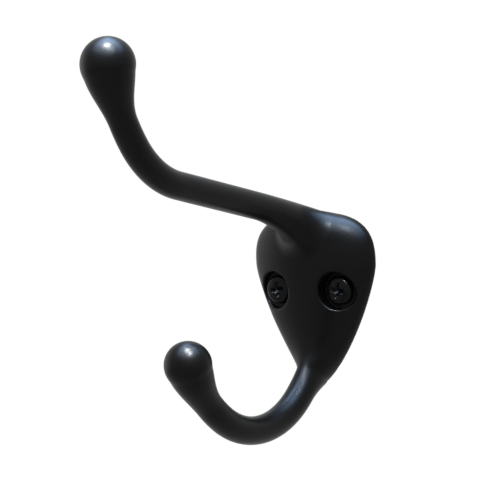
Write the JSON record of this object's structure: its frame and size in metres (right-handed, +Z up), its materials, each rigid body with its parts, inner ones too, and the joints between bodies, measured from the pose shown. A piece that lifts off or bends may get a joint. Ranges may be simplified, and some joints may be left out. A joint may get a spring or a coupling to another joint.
{
  "type": "coat hook",
  "caption": "Wall-mounted double coat hook in satin black, with a long ball-ended upper arm, a short ball-ended lower hook and recessed pan-head screws.",
  "frame": {"origin": "on the flat back, midway between the two screws' axes", "axes": "+Y into the wall, square to the flat back; +Z up; +X to the right of someone facing the wall; the hook reaches out along -Y"},
  "size_m": [0.0402, 0.1128, 0.1095],
  "materials": {
    "satin_black_casting": "satin black baked coating with a fine orange-peel grain, over a smooth casting",
    "black_screw_steel": "glossy blackened steel"
  },
  "bodies": {
    "root": {"hook": "satin_black_casting", "mounting_screws": "black_screw_steel"}
  },
  "joints": []
}
